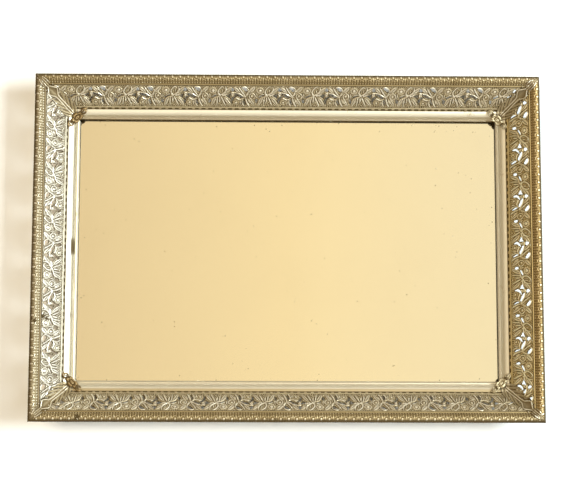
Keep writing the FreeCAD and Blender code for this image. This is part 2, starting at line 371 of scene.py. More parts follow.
def lobed_flower(s, t, centre, radius, lobes, period):
    """A flat flower: lobes round a sunk ring, and a knob in the middle."""
    s = (s - centre[0] + period / 2) % period - period / 2
    t = t - centre[1]
    r, angle = np.hypot(s, t), np.arctan2(t, s)
    edge = radius * (0.86 + 0.14 * np.abs(np.cos(lobes * angle / 2)))
    petal = dome(r / edge) ** 0.6 * (0.95 - 0.25 * np.exp(-((r - 0.45 * radius) / 0.5) ** 2) * 2.4)
    notch = 1 - 0.5 * np.exp(-(np.sin(lobes * angle / 2) / 0.22) ** 2) * smoothstep(0.5, 0.8, r / radius)
    knob = dome(r / (0.24 * radius)) * 0.9
    return np.maximum(petal * notch, knob)


def outside_polygon(s, t, corners, period):
    """Signed distance to a convex polygon, negative inside."""
    corners = np.array(corners)
    centre = corners.mean(0)
    s = (s - centre[0] + period / 2) % period + centre[0] - period / 2
    sides = []
    for a, b in zip(corners, np.roll(corners, -1, 0)):
        normal = np.array([b[1] - a[1], a[0] - b[0]])
        normal = normal / np.hypot(*normal)
        if normal @ (centre - a) > 0:
            normal = -normal
        sides.append((s - a[0]) * normal[0] + (t - a[1]) * normal[1])
    return np.max(sides, 0)


def scroll_height(s, t):
    """Height of the stamping from 0, the sunk ground, to 1, the highest leaf.
    Between the ornaments the ground rises and falls with the distance g to the nearest
    of them, 0.1 + 0.5 sin^2(pi g / 1.5), so thin lines run beside every outline."""
    gaps = []
    for path in RIDGES + LEAVES:
        d, w, _ = nearest(s, t, path, REPEAT)
        gaps.append(d - 1.15 * w)
    gap = np.maximum(np.min(gaps, 0), 0)
    turns = 2 * math.pi * 40 / REPEAT
    matted = 0.10 + 0.50 * np.sin(math.pi * gap / 1.5) ** 2
    matted += 0.06 * np.sin(turns * s + 5.1 * t) * np.sin(turns * s * 0.75 - 5.6 * t)
    parts = [matted] + [ridge(s, t, path, REPEAT) * 0.85 for path in RIDGES]
    parts += [leaf(s, t, path, REPEAT) for path in LEAVES]
    for a, b, r in KNOBS:
        near = np.hypot((s - a + REPEAT / 2) % REPEAT - REPEAT / 2, t - b)
        parts.append(dome(near / r) * 0.95)
    parts.append(lobed_flower(s, t, (33.4, 5.9), 3.9, 5, REPEAT))
    parts.append(lobed_flower(s, t, (12.8, 18.9), 3.1, 6, REPEAT) * 0.9)
    return np.max(parts, 0)


def scroll_holes(s, t):
    """Distance to the nearest hole, negative inside one."""
    gaps = [outside_polygon(s, t, TRIANGLE, REPEAT)]
    for path in HOLES:
        d, w, _ = nearest(s, t, path, REPEAT)
        gaps.append(d - w)
    return np.min(gaps, 0)


def softened(table, passes):
    """Blur one repeat a little, as thin metal rounds the edges of the die.
    Rows are t, columns are s and wrap round."""
    for _ in range(passes):
        table = (np.roll(table, 1, 1) + 2 * table + np.roll(table, -1, 1)) / 4
        upper = np.vstack([table[:1], table[:-1]])
        lower = np.vstack([table[1:], table[-1:]])
        table = (upper + 2 * table + lower) / 4
    return table


columns = int(round(REPEAT / LOOKUP))
table_s = np.arange(columns) * REPEAT / columns
table_t = np.arange(0, SLOPE_LENGTH + LOOKUP, LOOKUP)
grid_s, grid_t = np.meshgrid(table_s, table_t)
HEIGHT_TABLE = scroll_height(grid_s, grid_t)
HOLE_TABLE = scroll_holes(grid_s, grid_t)
# the leaves stop at a straight line above the plain margin, and below the rim
HEIGHT_TABLE *= smoothstep(0.7, 1.3, grid_t) * (1 - smoothstep(23.3, 23.7, grid_t))
margin = smoothstep(23.7, 24.2, grid_t) * 0.45
dash = np.abs((grid_s + 1.2) % (REPEAT / 7) - REPEAT / 14) - 1.75
bridge = smoothstep(-0.3, 0.3, dash)
foot = smoothstep(25.3, 25.7, grid_t)
margin -= 0.45 * foot * (1 - bridge * (1 - smoothstep(26.5, 26.9, grid_t)))
top_line = (1 - smoothstep(0.2, 0.75, grid_t)) * 0.55
# dark lacquer stays in the line below the rim and by the holes; the foot is painted shade of the crevice
# where the strip's edge stands off the bead, over lacquer in the groove's dashes
CREASE_AND_SHADE_TABLE = np.maximum(np.maximum(foot * 0.95 * (1 - bridge), 0.3 * smoothstep(26.5, 26.9, grid_t)),
                          0.6 * np.exp(-((grid_t - 1.1) / 0.35) ** 2))
CREASE_AND_SHADE_TABLE = np.maximum(CREASE_AND_SHADE_TABLE, 0.55 * (1 - smoothstep(0.0, 0.5, HOLE_TABLE)))
HEIGHT_TABLE = softened(np.maximum(HEIGHT_TABLE, np.maximum(margin, top_line)), 2)
# and wherever the metal lies lower than its surroundings within half a millimetre
hollow = softened(HEIGHT_TABLE, 60) - HEIGHT_TABLE
CREASE_AND_SHADE_TABLE = np.maximum(CREASE_AND_SHADE_TABLE, 0.95 * smoothstep(0.01, 0.13, hollow) * (grid_t < 24.2))
# metal is drawn down a little towards each hole
HEIGHT_TABLE *= 0.55 + 0.45 * smoothstep(0.0, 0.6, HOLE_TABLE)
print("table", HEIGHT_TABLE.shape, "mean height", round(float(HEIGHT_TABLE.mean()), 3),
      "open", round(float((HOLE_TABLE < 0).mean()), 3))


def look_up(table, s, t):
    """Read a repeat table at (s, t), linearly between its points."""
    x = (s / REPEAT * columns) % columns
    y = np.clip(t / LOOKUP, 0, table.shape[0] - 1.001)
    i, j = x.astype(int) % columns, y.astype(int)
    k = (i + 1) % columns
    fx, fy = x - np.floor(x), y - j
    top = table[j, i] * (1 - fx) + table[j, k] * fx
    low = table[j + 1, i] * (1 - fx) + table[j + 1, k] * fx
    return top * (1 - fy) + low * fy


# %% [markdown]
# ## The pierced slope
# Four strips were cut from one long stamped ribbon, so the pattern starts at a
# different place on each rail. The ends are cut on the mitre, which runs at 45 degrees
# in plan. So s is stretched by a few tenths of a millimetre at most, to end exactly
# there: s = a (half + u), with a from -1 to 1.

# %% Four pierced slopes
START = {"back": -17.0, "right": -13.85, "front": -20.2, "left": -17.8}
CELL = 0.45
SUNK = 0.45                      # the ground lies this much behind the section
RELIEF = 1.2                     # from the ground to the highest leaf
RIM_RELIEF = 0.95
STRIP = 0.5


def slid_to_edge(s, t, gap_at, cell):
    """Move points close to a hole's edge onto it, along the slope of the distance."""
    for _ in range(2):
        gap = gap_at(s, t)
        e = 0.05
        ds = (gap_at(s + e, t) - gap_at(s - e, t)) / (2 * e)
        dt = (gap_at(s, t + e) - gap_at(s, t - e)) / (2 * e)
        size = np.maximum(ds ** 2 + dt ** 2, 0.3)
        near = (np.abs(gap) < 0.55 * cell) & (t > 0.5) & (t < SLOPE_LENGTH - 0.5)
        s = s - np.where(near, gap * ds / size, 0)
        t = t - np.where(near, gap * dt / size, 0)
    return s, t


def cell_middles(grid):
    return (grid[:-1, :-1] + grid[1:, :-1] + grid[:-1, 1:] + grid[1:, 1:]) / 4


# knocks: rail, place along it, place across it, size; the gilding is gone there
KNOCKS = [("left", -63.5, 30.5, 1.7), ("left", -62.0, 33.5, 1.2), ("left", -59.5, 24.0, 1.5),
          ("left", -61.5, 22.0, 1.1), ("front", 174.0, 30.5, 2.3), ("front", 175.5, 33.0, 1.5)]


def knocked(rail, s, u):
    """1 in the middle of a knock, falling off as exp(-(distance / size)^2)."""
    depth = 0 * (s + u)
    for where, a, b, size in KNOCKS:
        if where == rail:
            ragged = size * (1 + 0.3 * np.sin(3.1 * s + 2.3 * u))
            depth = np.maximum(depth, np.exp(-((s - a) ** 2 + (u - b) ** 2) / ragged ** 2))
    return depth


def pierced_slope(rail):
    """Stamped and pierced slope of one rail: the grid is a over columns, t down rows."""
    _, half, _ = RAILS[rail]
    rows = int(round(SLOPE_LENGTH / CELL)) + 1
    cols = int(round(2 * (half + 17) / CELL)) + 1
    share = np.linspace(-1, 1, cols)[None, :]
    t = np.linspace(0, SLOPE_LENGTH, rows)[:, None] + 0 * share
    reach = half + FRIEZE[0] - t * UP_SLOPE[0]
    s = share * reach

    def gap_at(s, t):
        u = FRIEZE[0] - t * UP_SLOPE[0]
        blank = np.abs(s) - (half + u - 8)
        return np.maximum(look_up(HOLE_TABLE, s - START[rail], t), blank)

    inner = (np.abs(share) < 0.999) & (t > 0)
    s2, t2 = slid_to_edge(s, t, gap_at, CELL)
    s, t = np.where(inner, s2, s), np.where(inner, t2, t)
    keep = no_pinches(gap_at(cell_middles(s), cell_middles(t)) > 0)

    relief = look_up(HEIGHT_TABLE, s - START[rail], t)
    worn = 0.06 * np.sin(s * 0.11 + 1.3) * np.sin(s * 0.047 + t * 0.1)
    lift = (relief - 1) * RELIEF + RELIEF - SUNK + worn * np.sin(math.pi * t / SLOPE_LENGTH)
    knock = knocked(rail, s, FRIEZE[0] - t * UP_SLOPE[0])
    lift -= 0.5 * knock
    under = lift * 0.55 - STRIP - 0.25

    def laid(off):
        place = FRIEZE - t[..., None] * UP_SLOPE + off[..., None] * OFF_SLOPE
        u, h = place[..., 0], place[..., 1]
        stretch = (half + u) / (half + FRIEZE[0] - t * UP_SLOPE[0])
        return on_rail(rail, s * stretch, u, h)

    crease = np.maximum(look_up(CREASE_AND_SHADE_TABLE, s - START[rail], t), smoothstep(0.3, 0.6, knock))
    piece = closed_piece("scroll_band_" + rail, laid(lift), laid(under), keep,
                         [("relief", relief), ("crease", crease)])
    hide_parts("gallery_" + rail)
    return piece


slopes = {rail: pierced_slope(rail) for rail in RAILS}

# %% [markdown]
# ## The rolled rim
# Above the scroll the strip turns over into a half round roll. It carries a thin
# fillet, a row of round beads, a row of smaller beads, and then darts that point
# outwards with an egg in a U-shaped band between each two. Six eggs and eighteen beads
# fit one repeat of the scroll, because one pair of rollers stamped both.

# %% Four rolled rims
BEAD_PITCH = REPEAT / 18
EGG_PITCH = REPEAT / 6


def wrapped(x, pitch):
    """x brought into the range from -pitch/2 to pitch/2."""
    return (x + pitch / 2) % pitch - pitch / 2


def rim_height(s, r):
    """Height on the roll, s along the rail and r over the rim from the fillet."""
    bead_s = wrapped(s - 2.35, BEAD_PITCH)
    fillet = dome((r - 0.45) / 0.42) * 0.4
    beads = dome(np.hypot(bead_s, (r - 1.95) * 0.95) / 0.86) * 0.85
    line = dome((r - 3.15) / 0.28) * 0.4
    small = dome(np.hypot(bead_s * 1.05, (r - 4.2) * 0.85) / 0.72) * 0.66
    dart_s = wrapped(s - 2.35, EGG_PITCH)
    taper = np.clip((9.6 - r) / 4.6, 0, 1)
    half = 0.25 + 0.85 * taper
    dart = np.clip(1 - np.abs(dart_s) / half, 0, 1) * smoothstep(4.7, 5.3, r) * (r < 9.6)
    egg_s = wrapped(s - 2.35 - EGG_PITCH / 2, EGG_PITCH)
    egg = dome(np.hypot(egg_s / 1.15, (r - 8.1) / 1.9)) * 0.9
    # the band round each egg: a U of constant width, open outwards
    inside = np.hypot(egg_s, np.minimum(r - 7.3, 0) * 0.95)
    band = dome((inside - 2.05) / 0.42) * 0.72 * (r > 4.7) * (r < 10.3)
    lip = dome((r - 10.9) / 0.45) * 0.5
    tiny = dome(np.hypot(bead_s, (r - 12.4) * 0.9) / 0.75) * 0.34
    flutes = 0.16 + 0.10 * np.cos(2 * math.pi * s / (REPEAT / 54)) * (r > 4.8) * (r < 10.5)
    parts = [fillet, beads, line, small, dart * 0.9, egg, band, lip, tiny, flutes]
    return np.max(parts, 0)


def rolled_rim(rail):
    """Roll of one rail: path distance r over rows, share of the half run over columns."""
    _, half, _ = RAILS[rail]
    rows = int(round(ROLL_LENGTH / 0.36)) + 1
    cols = int(round(2 * (half + 17) / CELL)) + 1
    r = np.linspace(0, ROLL_LENGTH, rows)
    path, _ = along(ROLL, r)
    normal = left_normals(path)
    normal[0] = OFF_SLOPE
    share = np.linspace(-1, 1, cols)[None, :]
    s = share * (half + path[:, :1])
    relief = rim_height(s - START[rail], r[:, None] + 0 * s)
    joint = look_up(HEIGHT_TABLE, s[:1] - START[rail], 0 * s[:1])
    blend = smoothstep(0, 0.5, r)[:, None]
    relief = joint * (1 - blend) + relief * blend
    reach = RELIEF + (RIM_RELIEF - RELIEF) * smoothstep(0, 0.8, r)[:, None]
    reach += (0.55 - RIM_RELIEF) * smoothstep(6.5, 9.5, r)[:, None]
    sunk = SUNK + (0.6 - SUNK) * smoothstep(6.5, 9.5, r)[:, None]
    knock = knocked(rail, s, path[:, :1])
    lift = relief * reach - sunk - 0.5 * knock
    under = lift * 0.5 - STRIP - 0.25
    crease = 0.7 * (1 - smoothstep(0.08, 0.34, relief)) * smoothstep(0.6, 1.0, r)[:, None]
    # painted shade on the outer side of the roll, which faces away from the light; on the right rail its
    # edge is left bright, a painted highlight where it faces the window
    outside = smoothstep(7.8, 8.8, r) * (1 - 0.7 * (rail == "right") * smoothstep(11.5, 11.9, r))
    crease = np.maximum(crease, 0.68 * outside[:, None])
    crease = np.maximum(crease, 0.5 * np.exp(-((r[:, None] - 0.5) / 0.45) ** 2))
    crease = np.maximum(crease, smoothstep(0.3, 0.6, knock))

    def laid(off):
        u = path[:, :1] + off * normal[:, :1]
        h = path[:, 1:] + off * normal[:, 1:]
        return on_rail(rail, share * (half + u), u, h)

    # painted highlight: the inner side of the left rail's roll, which faces the window, is made paler
    rubbed = relief + 0.16 * (rail == "left") * (1 - smoothstep(5.5, 7.5, r))[:, None]
    # rows run outwards here and down the slope in the bands, so the grid is turned over
    piece = closed_piece("rolled_rim_" + rail, laid(lift)[::-1], laid(under)[::-1], None,
                         [("relief", rubbed[::-1]), ("crease", crease[::-1])])
    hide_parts("gallery_" + rail)
    return piece


rims = {rail: rolled_rim(rail) for rail in RAILS}

# %% [markdown]
# ## The channel round the mirror
# The channel is bent from plain brass: a narrow lip on the glass, a sharp crease, a
# convex bead that stays smooth and bright, and behind it the ledge, the outer wall and
# the flange. Years of wiping dented it a little, so the bead wavers by a tenth of a
# millimetre along its length.

# %% Four channels
LIP = 2.5
SHEET = 0.7
WALL_U = side_of("moulding_right", 1, 0) - SIGHT_X
BOTTOM = side_of("moulding_right", 0, 2) - GLASS_TOP
FLANGE_U = 3.2
# the lip was crimped a little further out at the back and right, and is painted dark there
# as painted shade; on the left the painted shade lies in the hollow side of the bead instead
LIP_OUT = {"back": 1.2, "right": 1.25, "front": 0.0, "left": 0.0}
# painted shade on the lip; then how pale the lip, the hollow side and the top of the bead are
# made, painted highlights on the polished metal; then painted shade in the hollow side
CHANNEL_SHADE_AND_SHINE = {
    "back": (0.95, 0.7, 0.4, 1.0, 0.1),
    "right": (0.5, 0.75, 1.0, 0.62, 0.0),
    "front": (0.0, 0.6, 0.75, 0.85, 0.0),
    "left": (0.34, 0.5, 0.35, 1.0, 0.52),
}


def channel_path(out=0.0):
    """Outside of the channel, from the lip over the bead and down to the flange. The
    edge of the lip lies out millimetres further from the middle."""
    start, end = np.array([LIP, 2.3]), np.array([TOE[0], TOE[1] - 0.4])
    chord = end - start
    middle = (start + end) / 2 + 1.7 * np.array([-chord[1], chord[0]]) / np.hypot(*chord)
    ledge = TOE - 0.6 * OFF_SLOPE
    ledge_top = ledge + UP_SLOPE * (WALL_U - ledge[0]) / UP_SLOPE[0]
    corners = [ledge, ledge_top, (WALL_U, BOTTOM), (FLANGE_U, BOTTOM)]
    lip = [(0.3, 0.4), (0.05, 0.55), (0.08, 0.85), (0.9, 1.75), (1.6, 2.35), (2.0, 2.45), (2.35, 2.3)]
    lip = [(x + out * (1 - x / 2.4), z) for x, z in lip]
    return np.concatenate([lip, arc_points(start + [0.05, 0.1], middle, end, 22), corners])


def channel(rail):
    """Channel of one rail: section over rows, share of the half run over columns."""
    _, half, _ = RAILS[rail]
    path = channel_path(LIP_OUT[rail])
    fine, length = along(path, np.zeros(1))
    spread = np.unique(np.concatenate([np.linspace(0, 16, 76), np.linspace(16, length, 50)]))
    path, _ = along(path, spread)
    soft = path.copy()
    soft[1:-1] = (path[:-2] + 2 * path[1:-1] + path[2:]) / 4
    soft[:, 1] = np.maximum(soft[:, 1], BOTTOM)
    normal = -left_normals(soft)
    cols = int(round(2 * half / 1.6)) + 1
    share = np.linspace(-1, 1, cols)[None, :]
    s = share * (half + soft[:, :1])
    seed = RAILS[rail][0] * 2.1
    waver = (np.sin(s * 0.19 + seed) + np.sin(s * 0.071 + 1.7 * seed) + 0.5 * np.sin(s * 0.47 - seed)) / 2.5
    on_bead = (smoothstep(3, 5.5, spread) * (1 - smoothstep(10.5, 13.5, spread)))[:, None]
    across = soft[:, 0]
    lip_dark, lip_pale, side_pale, top_pale, side_dark = CHANNEL_SHADE_AND_SHINE[rail]
    polish_and_highlight = side_pale + (top_pale - side_pale) * smoothstep(3.9, 5.2, across)
    polish_and_highlight += (lip_pale - side_pale) * (1 - smoothstep(1.7, 2.2, across))
    # the outer part of the front rail's bead is made darker
    polish_and_highlight -= 0.75 * (rail == "front") * smoothstep(6.5, 7.2, across)
    polish_and_highlight = (polish_and_highlight * (soft[:, 1] > 0.5) * (across < 9.2))[:, None]
    side = (smoothstep(2.2, 2.8, across) * (1 - smoothstep(4.2, 5.0, across)))[:, None]
    reach = (smoothstep(2.2, 2.8, across) * (1 - smoothstep(4.9, 5.7, across)))[:, None]
    worn = np.exp(-((s - 2) / 9) ** 4) + 0.7 * np.exp(-((s + 57) / 5) ** 2)
    worn = 0.85 * worn * reach * (rail == "left")
    dents = 0.07 * waver * on_bead

    def laid(off):
        u = soft[:, :1] + off * normal[:, :1]
        h = soft[:, 1:] + off * normal[:, 1:]
        return on_rail(rail, share * (half + u), u, h)

    on_top = soft[:, 1] > 0.3
    crease = np.maximum(0.6 * np.exp(-((across - 2.4) / 0.25) ** 2),
                        lip_dark * (1 - smoothstep(1.9, 2.2, across)))
    crease = np.maximum(crease, side_dark * side[:, 0]) * on_top
    # painted shade of the crevice under the strip's edge, along the outer edge of the bead
    crease = np.maximum(crease,
                        0.75 * smoothstep(8.5, 8.95, soft[:, 0]) * (soft[:, 1] > 8))
    # painted shade on the underside of the lip where it sits on the glass, seen again in the mirror
    crease = np.maximum(crease, (soft[:, 1] < 0.6) * (across < 2.6))
    # painted shade under the strip: the ledge, the outer wall and the flange are made dark
    crease = np.maximum(crease, 0.7 * smoothstep(16, 19, spread))[:, None]
    crease = np.maximum(crease, worn)
    piece = closed_piece("channel_" + rail, laid(dents)[::-1], laid(dents + SHEET)[::-1], None,
                         [("relief", (polish_and_highlight + 0 * s)[::-1]), ("crease", crease[::-1])], sharp=40)
    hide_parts("moulding_" + rail)
    return piece


channels = {rail: channel(rail) for rail in RAILS}

# %% [markdown]
# ## Corner leaves
# A separate stamping lies in the valley of each mitre: two long ribs side by side from
# the bead to the rim, with pairs of leaflets that sweep outwards, and round beads
# between them. Its outline is the outline of the leaflets. The grid is d, out along the
# diagonal from the corner of the sight edge, and w, across it.

# %% Four corner leaves
RIBS = [[(7.4, side * 0.8, 0.55), (12.0, side * 1.05, 0.78), (23.8, side * 1.05, 0.78),
         (26.2, side * 2.6, 0.72), (28.6, side * 4.2, 0.7), (31.2, side * 2.5, 0.65),
         (33.9, side * 0.5, 0.5)] for side in (1, -1)]
RIBS += [[(34.6, side * w, 0.35), (37.5, side * w * 1.05, 0.5), (41.0, side * w * 0.9, 0.35)]
         for side in (1, -1) for w in (0.85, 2.7)]
LEAFLETS = [[(start, side * 1.9, 0.5), (start + 3.8, side * (1.9 + 0.6 * (wide - 1.9)), 1.0),
             (start + 8.0, side * wide, 0.4)]
            for side in (1, -1)
            for start, wide in ((5.2, 6.8), (9.3, 6.9), (13.4, 6.0), (17.4, 4.9))]
# the plain sheet under them, as one broad leaf
BLADE = [[(6.2, 0, 3.0), (9.5, 0, 4.4), (15.0, 0, 4.4), (21.0, 0, 3.6), (25.0, 0, 3.0), (28.6, 0, 4.6),
          (31.5, 0, 3.0), (34.2, 0, 1.4), (37.0, 0, 3.2), (40.5, 0, 3.2), (45.0, 0, 0.7)]]
CORNER_BEADS = [(d, side * w, r) for side in (1, -1)
                for d, w, r in ((42.0, 1.9, 0.75), (32.6, 3.9, 0.7), (24.6, 3.6, 0.6))]
LEAF_THICK = 0.65


def section_height(u):
    """Height of the outer surface over u, from the lip to the top of the roll."""
    line = np.concatenate([channel_path()[:29], [TOE, FRIEZE], ROLL[1:46]])
    order = np.argsort(line[:, 0], kind="stable")
    return np.interp(u, line[order, 0], line[order, 1])


def leaf_grid():
    """The leaf over d and w: place of every point, top, underside, cells and patina."""
    step = 0.24
    d = np.arange(5.6, 46.2, step)[:, None]
    w = np.arange(-8.2, 8.2 + step / 2, step)[None, :]
    d, w = d + 0 * w, w + 0 * d

    def gap_at(w, d):
        gaps = []
        for path in RIBS[:2] + LEAFLETS + BLADE:
            near, wide, _ = nearest(d, w, path, count=12 + 16 * (path in BLADE))
            gaps.append(wide - near)
        for a, b, r in CORNER_BEADS:
            gaps.append(r - np.hypot(d - a, w - b))
        return np.max(gaps, 0)

    for _ in range(2):
        gap, e = gap_at(w, d), 0.05
        dw = (gap_at(w + e, d) - gap_at(w - e, d)) / (2 * e)
        dd = (gap_at(w, d + e) - gap_at(w, d - e)) / (2 * e)
        size = np.maximum(dw ** 2 + dd ** 2, 0.3)
        near = np.abs(gap) < 0.55 * step
        w, d = w - np.where(near, gap * dw / size, 0), d - np.where(near, gap * dd / size, 0)
    keep = no_pinches(gap_at(cell_middles(w), cell_middles(d)) > 0)

    near, wide, _ = nearest(d, w, BLADE[0], count=30)
    lines = [0.22 * dome(near / wide) ** 0.5 + 0.16 * np.sin(w * 3.6 + 0.5) ** 2,
             0.34 * dome(np.hypot((d - 28.8) / 4.4, w / 3.8))]
    parts = list(lines)
    for path in RIBS:
        near, wide, _ = nearest(d, w, path, count=24)
        parts.append(1.2 * dome(near / (0.8 * wide)))
    for path in LEAFLETS:
        near, wide, passed = nearest(d, w, path)
        ratio = near / wide
        parts.append(dome(ratio) ** 0.7 * (0.85 - 0.25 * np.exp(-(near / 0.25) ** 2) - 0.1 * passed))
    for a, b, r in CORNER_BEADS:
        parts.append(dome(np.hypot(d - a, w - b) / r) * 0.95)
    relief = np.max(parts, 0)
    crease = 0.9 * (1 - smoothstep(0.12, 0.42, relief))
    across = np.sqrt(w ** 2 + 0.7)
    base = section_height((d + across) / math.sqrt(2))
    edge = TALLEST - GLASS_TOP - 0.02
    top = np.minimum(base + LEAF_THICK + 0.95 * relief, edge)
    low = np.minimum(base - 0.1 + 0.35 * relief, edge - 0.6)
    return d, w, top, low, keep, relief, crease


def corner_leaf(name, grid):
    """Leaf of one corner, in the valley between two rails."""
    side_x, side_y = CORNERS[name]
    d, w, top, low, keep, relief, crease = grid

    def laid(height):
        out, aside = d / math.sqrt(2), w / math.sqrt(2)
        x = side_x * (SIGHT_X + out + side_x * side_y * aside)
        y = side_y * (SIGHT_Y + out - side_x * side_y * aside)
        return np.stack([x, y, GLASS_TOP + height], -1)

    piece = closed_piece("corner_leaf_cover_" + name, laid(top)[:, ::-1], laid(low)[:, ::-1],
                         keep[:, ::-1], [("relief", relief[:, ::-1]), ("crease", crease[:, ::-1])])
    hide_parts("corner_leaf_" + name)
    return piece


one_leaf = leaf_grid()
leaves = {name: corner_leaf(name, one_leaf) for name in CORNERS}

# %% [markdown]
# ## Corner flowers
# The inner end of each leaf carries a flower of five cupped petals round a boss with a
# pinhole, tipped towards the middle of the tray, and a curled tendril on each side of
# it. It stands over the lip of the channel, so it casts a shadow and shows again in
# the mirror.

# %% Four flowers with their curls
FLOWER_OUT = 2.2
FLOWER_RISE = 8.4
TILT = math.radians(34)


def disc_grid(rings, spokes):
    """Share of the radius over rows, angle over columns; the last column closes it."""
    share = np.linspace(0, 1, rings)[:, None] ** 0.9
    angle = np.linspace(0, 2 * math.pi, spokes)[None, :]
    return share + 0 * angle, angle + 0 * share


def placed(name, x, y, z, lean=TILT):
    """Flower coordinates (x out along the diagonal, y across, z up) at a corner."""
    side_x, side_y = CORNERS[name]
    out = x * math.cos(lean) - z * math.sin(lean)
    up = x * math.sin(lean) + z * math.cos(lean)
    px = side_x * (SIGHT_X + FLOWER_OUT + (out + side_x * side_y * y) / math.sqrt(2))
    py = side_y * (SIGHT_Y + FLOWER_OUT + (out - side_x * side_y * y) / math.sqrt(2))
    return np.stack([px, py, GLASS_TOP + FLOWER_RISE + up], -1)


def blossom(name):
    """r = share R(angle), R lobed five times; z = cup + boss - pinhole."""
    share, angle = disc_grid(46, 161)
    lobe = np.abs(np.cos(2.5 * angle))
    radius = 6.4 * (0.62 + 0.38 * lobe ** 0.55)
    r = share * radius
    cup = 1.5 * smoothstep(0.25, 0.7, share) - 0.9 * smoothstep(0.72, 1, share)
    vein = -0.35 * np.exp(-(np.sin(2.5 * angle) / 0.12) ** 2) * smoothstep(0.3, 0.6, share)
    crease = 0.12 * np.cos(25 * angle) * smoothstep(0.45, 0.9, share)
    crest = cup * (0.6 + 0.4 * lobe) + vein + crease
    boss = 1.5 * dome(r / 2.2) ** 0.8 - 0.9 * np.exp(-(r / 0.6) ** 2)
    z = np.maximum(crest, boss) + 0.25
    relief = np.clip(z / 2.6, 0, 0.8)
    under = np.minimum(z - 0.45, 0.15) - 0.5 * (1 - share)
    x, y = 0.66 * r * np.cos(angle), 1.12 * r * np.sin(angle)
    top, low = placed(name, x, y, z), placed(name, x, y, under)
    return top, low, relief


def curl(name, side):
    """A tendril: a tube of shrinking radius along a spiral of one and a half turns."""
    turn = np.linspace(0, 1, 70)[:, None]
    ring = np.linspace(0, 2 * math.pi, 17)[None, :]
    angle = -0.6 * math.pi + turn * 3.0 * math.pi
    reach = 2.9 * (1 - 0.72 * turn)
    thick = 0.75 * (1 - 0.35 * turn) * (0.35 + 0.65 * smoothstep(0, 0.08, turn))
    cx = 0.4 + reach * np.cos(angle)
    cy = side * (7.6 - reach * np.sin(angle))
    out = thick * np.cos(ring)
    x = cx + out * np.cos(angle)
    y = cy - side * out * np.sin(angle)
    z = 0.6 + 1.3 * turn + 0.28 * np.abs(cy) - 0.5 + thick * np.sin(ring)
    return placed(name, x, y, z), turn + 0 * ring


def tube_faces(rows, cols, first):
    """Quads round a tube whose last column repeats its first; its two ends stay open."""
    r, c = np.meshgrid(np.arange(rows - 1), np.arange(cols - 1), indexing="ij")
    after = (c + 1) % (cols - 1)
    wide = cols - 1
    quads = np.stack([r * wide + c, r * wide + after, (r + 1) * wide + after, (r + 1) * wide + c], -1)
    return quads.reshape(-1, 4) + first


def flower(name):
    side_x, side_y = CORNERS[name]
    turned_over = side_x * side_y > 0
    top, low, relief = blossom(name)
    rings, spokes = top.shape[:2]
    spokes -= 1
    # front and back discs share their outer ring's wall; the last column is the first
    points = np.concatenate([top[:, :-1].reshape(-1, 3), low[:, :-1].reshape(-1, 3)])
    shades = np.concatenate([relief[:, :-1].ravel(), relief[:, :-1].ravel() * 0.3])
    r, c = np.meshgrid(np.arange(rings - 1), np.arange(spokes), indexing="ij")
    after = (c + 1) % spokes
    disc = np.stack([r * spokes + c, (r + 1) * spokes + c, (r + 1) * spokes + after,
                     r * spokes + after], -1).reshape(-1, 4)
    half = rings * spokes
    edge = np.arange(spokes)
    next_edge = (edge + 1) % spokes
    last = (rings - 1) * spokes
    wall = np.stack([last + edge, half + last + edge, half + last + next_edge, last + next_edge], 1)
    faces = [disc, disc[:, ::-1] + half, wall]
    for side in (1, -1):
        tube, turn = curl(name, side)
        quads = tube_faces(tube.shape[0], tube.shape[1], len(points))
        faces.append(quads[:, ::-1] if side < 0 else quads)
        points = np.concatenate([points, tube[:, :-1].reshape(-1, 3)])
        shades = np.concatenate([shades, 0.35 + 0.3 * np.cos(turn[:, :-1].ravel() * 9)])
    faces = np.concatenate(faces)
    if turned_over:
        faces = faces[:, ::-1]
    piece = piece_from_lists("corner_flower_" + name, points * MM, faces, shades)
    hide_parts("corner_leaf_" + name)
    return piece


def piece_from_lists(name, points, faces, shades):
    """As piece_from, with one relief value to each point and faces that may share ends."""
    mesh = bpy.data.meshes.new(name)
    mesh.from_pydata(points.tolist(), [], faces.tolist())
    for label, values in (("relief", shades), ("crease", 0.8 - 3 * shades)):
        layer = mesh.attributes.new(label, "FLOAT", "POINT")
        layer.data.foreach_set("value", np.clip(values, 0, 1).astype(np.float32))
    mesh.update(calc_edges=True)
    mesh.shade_smooth()
    mesh.set_sharp_from_angle(angle=math.radians(60))
    piece = bpy.data.objects.new(name, mesh)
    bpy.context.collection.objects.link(piece)
    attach(piece, "root")
    print(name, len(faces) * 2, "triangles")
    return piece


flowers = {name: flower(name) for name in CORNERS}

# %% [markdown]
# ## The felt underneath
# A sheet of brown felt is glued under the board so that the tray doesn't scratch the
# dresser. It is the only cloth here. It lies flat, with the little swells that glue
# leaves and an edge cut by hand.

# %% Felt
felt_low, felt_high = [np.array(corner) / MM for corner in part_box("felt_sheet")]


